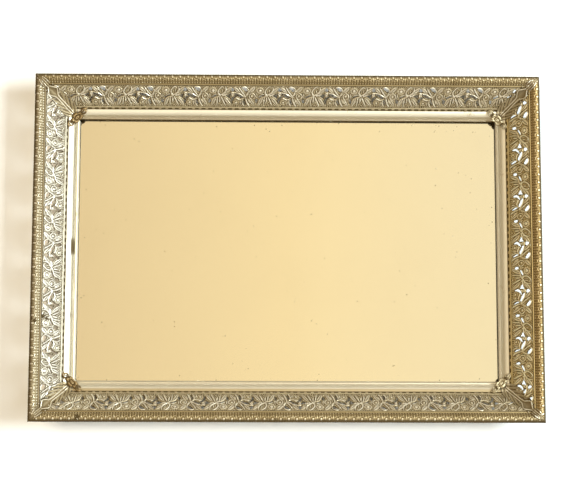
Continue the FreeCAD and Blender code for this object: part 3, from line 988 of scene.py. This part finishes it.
def felt_sheet():
    """Top flat against the board; underside z = swell(x, y), thinner at the edge."""
    x = np.linspace(felt_low[0], felt_high[0], 185)[None, :]
    y = np.linspace(felt_low[1], felt_high[1], 117)[:, None]
    x, y = x + 0 * y, y + 0 * x
    inset = np.minimum(np.minimum(x - felt_low[0], felt_high[0] - x),
                       np.minimum(y - felt_low[1], felt_high[1] - y))
    swell = 0.06 + 0.05 * np.sin(x * 0.083) * np.cos(y * 0.091 + 1) + 0.3 * np.exp(-inset / 0.8)
    ragged = 0.15 * (np.sin(x * 1.3 + y * 0.7) + np.sin(y * 1.7 - x * 0.4)) * (inset < 0.1)
    x, y = np.clip(x + ragged, felt_low[0], felt_high[0]), np.clip(y - ragged, felt_low[1], felt_high[1])
    front = np.stack([x, y, felt_high[2] + 0 * x], -1)
    back = np.stack([x, y, swell], -1)
    piece = closed_piece("felt_underlay", front, back, None, [("relief", swell)])
    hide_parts("felt_sheet")
    return piece


felt = felt_sheet()

# %% [markdown]
# ## Finishes
# A finish is a tree of nodes. Two small helpers keep it readable: a Value wraps a
# socket, so that sums can be written as sums, and a Finish makes the nodes.

# %% Shader helpers


class Value:
    """A number in a shader: sums of Values make Math nodes."""

    def __init__(self, finish, socket):
        self.finish, self.socket = finish, socket

    def _with(self, operation, *others, clamp=False):
        node = self.finish.tree.nodes.new("ShaderNodeMath")
        node.operation, node.use_clamp = operation, clamp
        for place, other in zip(node.inputs, others):
            if isinstance(other, Value):
                self.finish.tree.links.new(other.socket, place)
            else:
                place.default_value = other
        return Value(self.finish, node.outputs[0])

    def __add__(self, other):
        return self._with("ADD", self, other)

    def __radd__(self, other):
        return self._with("ADD", other, self)

    def __sub__(self, other):
        return self._with("SUBTRACT", self, other)

    def __rsub__(self, other):
        return self._with("SUBTRACT", other, self)

    def __mul__(self, other):
        return self._with("MULTIPLY", self, other)

    def __rmul__(self, other):
        return self._with("MULTIPLY", other, self)

    def __truediv__(self, other):
        return self._with("DIVIDE", self, other)

    def __pow__(self, other):
        return self._with("POWER", self, other)

    def kept(self):
        """Held between 0 and 1."""
        return self._with("ADD", self, 0.0, clamp=True)

    def step(self, low, high):
        """0 at low, 1 at high, eased between."""
        return self.finish.node("ShaderNodeMapRange", {"interpolation_type": "SMOOTHSTEP"},
                                self, low, high)


class Finish:
    """A procedural material: makes nodes, and links or sets their inputs by position."""

    def __init__(self, name, colour, metallic=0.0, roughness=0.5):
        self.material = bpy.data.materials.new(name)
        self.material.use_nodes = True
        self.tree = self.material.node_tree
        self.shader = self.tree.nodes["Principled BSDF"]
        self.shader.inputs["Metallic"].default_value = metallic
        self.shader.inputs["Roughness"].default_value = roughness
        self.material.diffuse_color = (*colour, 1)
        self.place = self.tree.nodes.new("ShaderNodeTexCoord").outputs["Object"]

    def put(self, socket, value):
        if isinstance(value, Value):
            value = value.socket
        if isinstance(value, bpy.types.NodeSocket):
            self.tree.links.new(value, socket)
        elif value is not None:
            socket.default_value = value

    def node(self, kind, settings, *values, output=0):
        """Settings first, then one value or link to each input in order (None skips)."""
        made = self.tree.nodes.new(kind)
        for key, value in settings.items():
            setattr(made, key, value)
        for socket, value in zip([i for i in made.inputs if i.enabled], values):
            self.put(socket, value)
        return Value(self, made.outputs[output])

    def noise(self, scale, detail=3.0, rough=0.5, place=None):
        """Noise between about 0.3 and 0.7; scale is waves per metre."""
        return self.node("ShaderNodeTexNoise", {"noise_dimensions": "3D"},
                         place or self.place, scale, detail, rough)

    def stretched(self, x, y, z):
        """Object coordinates scaled along each axis."""
        return self.node("ShaderNodeVectorMath", {"operation": "MULTIPLY"},
                         self.place, (x, y, z)).socket

    def attribute(self, name):
        made = self.tree.nodes.new("ShaderNodeAttribute")
        made.attribute_name = name
        return Value(self, made.outputs["Fac"])

    def mix(self, share, first, second):
        """Colour between two colours."""
        made = self.tree.nodes.new("ShaderNodeMix")
        made.data_type = "RGBA"
        self.put(made.inputs["Factor"], share)
        for key, colour in (("A", first), ("B", second)):
            sockets = [i for i in made.inputs if i.name == key and i.type == "RGBA"]
            self.put(sockets[0], colour if isinstance(colour, bpy.types.NodeSocket) else (*colour, 1))
        return [o for o in made.outputs if o.type == "RGBA"][0]

    def finish(self, **inputs):
        """Link the shader's varying inputs, names with spaces written with _."""
        for key, value in inputs.items():
            self.put(self.shader.inputs[key.replace("_", " ")], value)
        return self.material

    def bump(self, height, distance, strength=1.0):
        made = self.tree.nodes.new("ShaderNodeBump")
        made.inputs["Strength"].default_value = strength
        made.inputs["Distance"].default_value = distance
        self.put(made.inputs["Height"], height)
        self.put(self.shader.inputs["Normal"], made.outputs[0])


# %% [markdown]
# ## Antiqued gilding
# The wash is darkest in the sunk ground, gold-brown on the flanks and rubbed to a pale
# champagne on the high places. The rubbing is uneven, in patches of a centimetre or
# two, and there is fine grain in the metal everywhere.

# %% Gilt on stamped metal


def antique_gilt(name, rubbed=0.0, tone=(1, 1, 1)):
    """Colour by height of the stamping, unevenly rubbed, dark in the creases and in painted shade."""
    gilt = Finish(name, (0.6, 0.5, 0.3))
    height = gilt.attribute("relief")
    crease = gilt.attribute("crease")
    patches = gilt.noise(55, 3, 0.55)
    grain = gilt.noise(900, 4, 0.65)
    level = height + (patches - 0.5) * 0.35 + (grain - 0.5) * 0.18 + rubbed
    out_of_ground = level.step(0.02, 0.42)
    high = level.step(0.5, 0.92)
    low, middle, top = ([a * b ** power for a, b in zip(shade, tone)] for shade, power in
                        (((0.17, 0.12, 0.05), 1), ((0.56, 0.48, 0.32), 1), ((0.97, 0.93, 0.82), 0.5)))
    base = gilt.mix(out_of_ground, low, middle)
    worn = gilt.mix(high, base, top)
    dark = (crease + (grain - 0.5) * 0.25).step(0.2, 0.8)
    colour = gilt.mix(dark, worn, (0.085, 0.055, 0.018))
    rough = 0.54 - 0.14 * high + (grain - 0.5) * 0.25 + 0.2 * dark
    metal = 0.72 + 0.25 * out_of_ground - 0.4 * dark
    gilt.bump(grain + gilt.noise(2600, 2, 0.6) * 0.5, 0.00009)
    return gilt.finish(Base_Color=colour, Roughness=rough, Metallic=metal)


# painted light: the left copies are paler and cooler, a painted highlight where the rail faces the window;
# the right copies are warmer gold, a painted reflection of the dim, warm side of the room
filigree_gilt = antique_gilt("filigree_gilt")
rim_gilt = antique_gilt("rim_gilt", -0.02, (0.66, 0.59, 0.45))
band_gilts = {"front": filigree_gilt, "back": filigree_gilt,
              "left": antique_gilt("filigree_gilt_lit_side", 0.02, (0.98, 1.05, 1.26)),
              "right": antique_gilt("filigree_gilt_shaded_side", 0.08, (1.16, 1.08, 0.82))}
rim_gilts = {"front": rim_gilt, "back": rim_gilt,
             "left": antique_gilt("rim_gilt_lit_side", -0.02, (0.66, 0.63, 0.57)),
             "right": antique_gilt("rim_gilt_shaded_side", -0.02, (0.77, 0.635, 0.405))}
leaf_gilt = antique_gilt("leaf_gilt", -0.1, (0.85, 0.83, 0.8))
flower_gilt = antique_gilt("flower_gilt", -0.02)
brown_flower = antique_gilt("brown_flower", -0.26, (0.78, 0.66, 0.50))


def plain_gilt(name):
    """Smooth channel: pale on the bead with painted highlights, brown where it is rubbed through, and dark
    in the creases and in painted shade.
    """
    gilt = Finish(name, (0.75, 0.68, 0.5))
    on_bead = gilt.attribute("relief")
    crease = gilt.attribute("crease")
    patches = gilt.noise(38, 4, 0.6)
    grain = gilt.noise(1100, 3, 0.6)
    pale = gilt.mix(on_bead, (0.50, 0.40, 0.23), (0.93, 0.89, 0.76))
    through = (patches + (grain - 0.5) * 0.2).step(0.60, 0.70)
    rubbed = gilt.mix(through * 0.6, pale, (0.46, 0.35, 0.18))
    dark = (crease + (grain - 0.5) * 0.3).step(0.25, 0.85)
    colour = gilt.mix(dark, rubbed, (0.11, 0.07, 0.02))
    rough = 0.44 + 0.15 * through + (grain - 0.5) * 0.2 + 0.2 * dark
    gilt.bump(patches * 2.0 + grain * 0.25, 0.0002, 0.6)
    return gilt.finish(Base_Color=colour, Roughness=rough, Metallic=0.95 - 0.2 * through - 0.75 * dark)


channel_gilt = plain_gilt("channel_gilt")

for rail in RAILS:
    slopes[rail].data.materials.append(band_gilts[rail])
    rims[rail].data.materials.append(rim_gilts[rail])
for piece in leaves.values():
    piece.data.materials.append(leaf_gilt)
for name, piece in flowers.items():
    piece.data.materials.append(brown_flower if "left" in name else flower_gilt)
for piece in channels.values():
    piece.data.materials.append(channel_gilt)

# %% [markdown]
# ## Mirror, board and felt
# The mirror is a plate of float glass, silvered on its back. So the reflection lies
# below the surface that things stand on, and a dark line shows along the rails where
# the glass mirrors the underside of the lip, which carries painted shade. The silver
# has a haze, and specks where it has gone near the edge.

# %% Mirror, board, felt


def mirror_plate():
    """Plate with its arrises ground off: top, four bevels, sides and back, a step at a time.
    The first faces are the clear top, the rest are silvered or ground."""
    low, high = [np.array(corner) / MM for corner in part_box("mirror_plate")]
    bevel = 0.35
    back = low[2] + 0.05          # the paint on the silver keeps it this far off the board
    rings = [(bevel, high[2]), (0, high[2] - bevel), (0, back + bevel), (bevel, back)]
    points = [(x * (high[0] - inset), y * (high[1] - inset), z)
              for inset, z in rings for x, y in ((-1, -1), (1, -1), (1, 1), (-1, 1))]
    faces = [(0, 1, 2, 3)]
    for ring in range(3):
        for k in range(4):
            after = (k + 1) % 4
            a, b = 4 * ring + k, 4 * ring + after
            faces.append((b, a, a + 4, b + 4))
    faces.append((15, 14, 13, 12))
    mesh = bpy.data.meshes.new("mirror_glass")
    mesh.from_pydata([tuple(np.array(p) * MM) for p in points], [], faces)
    mesh.materials.append(clear_glass())
    mesh.materials.append(old_silver())
    mesh.polygons.foreach_set("material_index", [0] * 5 + [1] * 9)
    piece = bpy.data.objects.new("mirror_glass", mesh)
    bpy.context.collection.objects.link(piece)
    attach(piece, "root")
    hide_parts("mirror_plate")
    return piece


def clear_glass():
    """Clear glass with a breath of dust on it."""
    glass = Finish("clear_glass", (0.95, 0.95, 0.93), roughness=0.0)
    glass.shader.inputs["Transmission Weight"].default_value = 1.0
    glass.shader.inputs["IOR"].default_value = 1.5
    tint = glass.noise(9, 3, 0.6)
    return glass.finish(Base_Color=glass.mix(tint, (0.995, 0.99, 0.98), (0.975, 0.97, 0.955)))


def old_silver():
    """Bright metal with a haze and small dark specks towards the edge."""
    mirror = Finish("old_silver", (0.9, 0.9, 0.88), metallic=1.0, roughness=0.02)
    along_x = mirror.node("ShaderNodeSeparateXYZ", {}, mirror.place, output=0)
    along_y = mirror.node("ShaderNodeSeparateXYZ", {}, mirror.place, output=1)
    from_x = SIGHT_X * MM - along_x._with("ABSOLUTE", along_x)
    from_y = SIGHT_Y * MM - along_y._with("ABSOLUTE", along_y)
    inset = from_x._with("MINIMUM", from_x, from_y)
    near_edge = 1 - inset.step(0.0, 0.012)
    cells = mirror.node("ShaderNodeTexVoronoi", {"feature": "F1"}, mirror.place, 240)
    specks = (1 - cells.step(0.05, 0.16)) * (mirror.noise(90, 2) + near_edge * 0.14).step(0.60, 0.66)
    haze = mirror.noise(14, 5, 0.6).step(0.45, 0.75)
    dust = mirror.noise(2500, 2, 0.7).step(0.62, 0.72)
    clean = mirror.mix(haze * 0.5, (0.955, 0.945, 0.915), (0.93, 0.915, 0.88))
    colour = mirror.mix((specks + dust * 0.12).kept(), clean, (0.35, 0.27, 0.15))
    return mirror.finish(Base_Color=colour, Roughness=0.012 + haze * 0.02 + dust * 0.05 + specks * 0.3)


def pressed_board():
    """Brown pressed board with fibres."""
    board = Finish("pressed_board", (0.4, 0.3, 0.2), roughness=0.9)
    fibres = board.noise(1, 5, 0.7, board.stretched(900, 260, 900))
    clouds = board.noise(30, 3)
    colour = board.mix((fibres * 0.7 + clouds * 0.3).step(0.3, 0.7), (0.25, 0.17, 0.10), (0.47, 0.35, 0.22))
    board.bump(fibres, 0.0003)
    return board.finish(Base_Color=colour, Roughness=0.82 + fibres * 0.15)


def brown_felt():
    """Short matted nap: fine fibres over soft clouds."""
    felt_finish = Finish("brown_felt", (0.16, 0.11, 0.08), roughness=1.0)
    clouds = felt_finish.noise(70, 4, 0.6)
    nap = felt_finish.noise(3200, 3, 0.7)
    fibres = felt_finish.noise(1, 3, 0.6, felt_finish.stretched(2600, 700, 900))
    colour = felt_finish.mix((nap * 0.5 + fibres * 0.3 + clouds * 0.2).step(0.35, 0.65),
                             (0.075, 0.05, 0.035), (0.20, 0.145, 0.105))
    felt_finish.bump(nap + fibres, 0.0005)
    felt_finish.shader.inputs["Sheen Weight"].default_value = 0.4
    felt_finish.shader.inputs["Sheen Roughness"].default_value = 0.4
    return felt_finish.finish(Base_Color=colour, Roughness=0.85 + nap * 0.15)


def give(node, material):
    """A carried-over node takes the finish through its material slots."""
    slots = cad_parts[node].material_slots
    if len(slots) == 0:
        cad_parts[node].data.materials.append(material)
    for slot in slots:
        slot.material = material


mirror = mirror_plate()
give("backing_board", pressed_board())
felt.data.materials.append(brown_felt())

# %% [markdown]
# ## The room
# The tray lies on a plain white surface. Daylight comes from a large window on its
# right, a little behind. The rest of the light is warm: a peach ceiling, which is all
# that the mirror shows, tan walls at the left and pale ones at the right.

# %% Floor, lights, ceiling


def plane(name, centre, half_x, half_y, material):
    """A four-cornered stage card, facing up."""
    corners = [(-half_x, -half_y, 0), (half_x, -half_y, 0), (half_x, half_y, 0), (-half_x, half_y, 0)]
    mesh = bpy.data.meshes.new(name)
    mesh.from_pydata([tuple(Vector(c) + Vector(centre)) for c in corners], [], [(0, 1, 2, 3)])
    mesh.materials.append(material)
    card = bpy.data.objects.new(name, mesh)
    bpy.context.collection.objects.link(card)
    return card


def white_floor():
    paper = Finish("white_floor", (0.9, 0.9, 0.9), roughness=0.9)
    cloud = paper.noise(2.5, 2)
    paper.shader.inputs["Specular IOR Level"].default_value = 0.2
    return paper.finish(Base_Color=paper.mix(cloud, (0.90, 0.90, 0.895), (0.93, 0.93, 0.93)))


def warm_ceiling():
    """Light peach overhead, dimmer at the left and paler at the right, and white all round."""
    ceiling = Finish("warm_ceiling", (1, 0.85, 0.6))
    x = ceiling.node("ShaderNodeSeparateXYZ", {}, ceiling.place)
    cloud = (ceiling.noise(1.6, 2) - 0.5) * 0.3
    left = ceiling.mix((x * 1.6 + 0.75 + cloud).kept(), (0.84, 0.65, 0.35), (1.03, 0.82, 0.44))
    peach = ceiling.mix((x * 1.6 - 0.1 + cloud).kept(), left, (0.98, 0.84, 0.53))
    reach = ceiling.node("ShaderNodeVectorMath", {"operation": "DISTANCE"},
                         ceiling.place, (0.04, 0.26, 2.2), output=1)
    colour = ceiling.mix(reach.step(0.75, 1.5), peach, (1.12, 1.0, 0.80))
    glow = ceiling.tree.nodes.new("ShaderNodeEmission")
    ceiling.put(glow.inputs["Color"], colour)
    output = ceiling.tree.nodes["Material Output"]
    ceiling.tree.links.new(glow.outputs[0], output.inputs["Surface"])
    ceiling.tree.nodes.remove(ceiling.shader)
    return ceiling.material


floor = plane("floor", (0, 0, 0), 3.0, 3.0, white_floor())
ceiling = plane("ceiling_card", (0.04, 0.26, 2.2), 3.0, 3.0, warm_ceiling())
ceiling.visible_camera = False
ceiling.visible_diffuse = False


def soft_light(name, place, target, width, height, power, colour):
    """A rectangular area light that faces the target."""
    data = bpy.data.lights.new(name, "AREA")
    data.shape, data.size, data.size_y = "RECTANGLE", width, height
    data.energy, data.color = power, colour
    light = bpy.data.objects.new(name, data)
    light.location = place
    aim = Vector(target) - Vector(place)
    light.rotation_euler = aim.to_track_quat("-Z", "Y").to_euler()
    bpy.context.collection.objects.link(light)
    return light


soft_light("window", (1.60, 0.12, 1.78), (0, 0, 0), 0.80, 0.80, 68, (0.84, 0.955, 1.0))
# two cards overhead that only lift the shadows on the floor: tan from the wall on the
# left, and a little of the sky
for name, place, power, colour in (("left_fill", (-0.95, 0.05, 1.80), 33, (1.0, 0.84, 0.60)),
                                   ("sky_fill", (0.9, -0.45, 1.9), 11, (0.80, 0.86, 0.88))):
    fill = soft_light(name, place, (0, 0, 0), 0.9, 0.9, power, colour)
    fill.visible_glossy = False
    fill.visible_transmission = False     # the mirror is seen through its glass


def room_walls():
    """Light from the walls: tan at the left, white at the right."""
    world = bpy.data.worlds.new("room_walls")
    world.use_nodes = True
    tree = world.node_tree
    coords = tree.nodes.new("ShaderNodeTexCoord")
    split = tree.nodes.new("ShaderNodeSeparateXYZ")
    share = tree.nodes.new("ShaderNodeMapRange")
    share.interpolation_type = "SMOOTHSTEP"
    share.inputs["From Min"].default_value = -0.9
    share.inputs["From Max"].default_value = 0.9
    mix = tree.nodes.new("ShaderNodeMix")
    mix.data_type = "RGBA"
    first, second = [i for i in mix.inputs if i.type == "RGBA"]
    first.default_value, second.default_value = (0.38, 0.27, 0.13, 1), (1.05, 0.99, 0.86, 1)
    tree.links.new(coords.outputs["Generated"], split.inputs[0])
    tree.links.new(split.outputs["X"], share.inputs["Value"])
    tree.links.new(share.outputs[0], mix.inputs["Factor"])
    background = tree.nodes["Background"]
    tree.links.new([o for o in mix.outputs if o.type == "RGBA"][0], background.inputs["Color"])
    background.inputs["Strength"].default_value = 0.9
    return world


bpy.context.scene.world = room_walls()
bpy.context.scene.world.cycles_visibility.diffuse = False

# %% [markdown]
# ## The view
# The tray is seen from almost straight above, from 1.2 m, a little from the front and
# the left, so that the far rail shows its inside and the near one is foreshortened.

# %% Camera
camera_data = bpy.data.cameras.new("camera")
camera_data.sensor_fit = "HORIZONTAL"
camera_data.sensor_width = 36
camera_data.lens = 88.69
camera = bpy.data.objects.new("camera", camera_data)
turn = Matrix(((0.99984295, -0.00457291, -0.01712216),
               (0.00249056, 0.99280473, -0.11971867),
               (0.01754642, 0.11965723, 0.9926602)))
camera.matrix_world = Matrix.Translation((-0.022633, -0.142502, 1.213734)) @ turn.to_4x4()
bpy.context.collection.objects.link(camera)
bpy.context.scene.camera = camera
bpy.context.scene.view_settings.view_transform = "Standard"
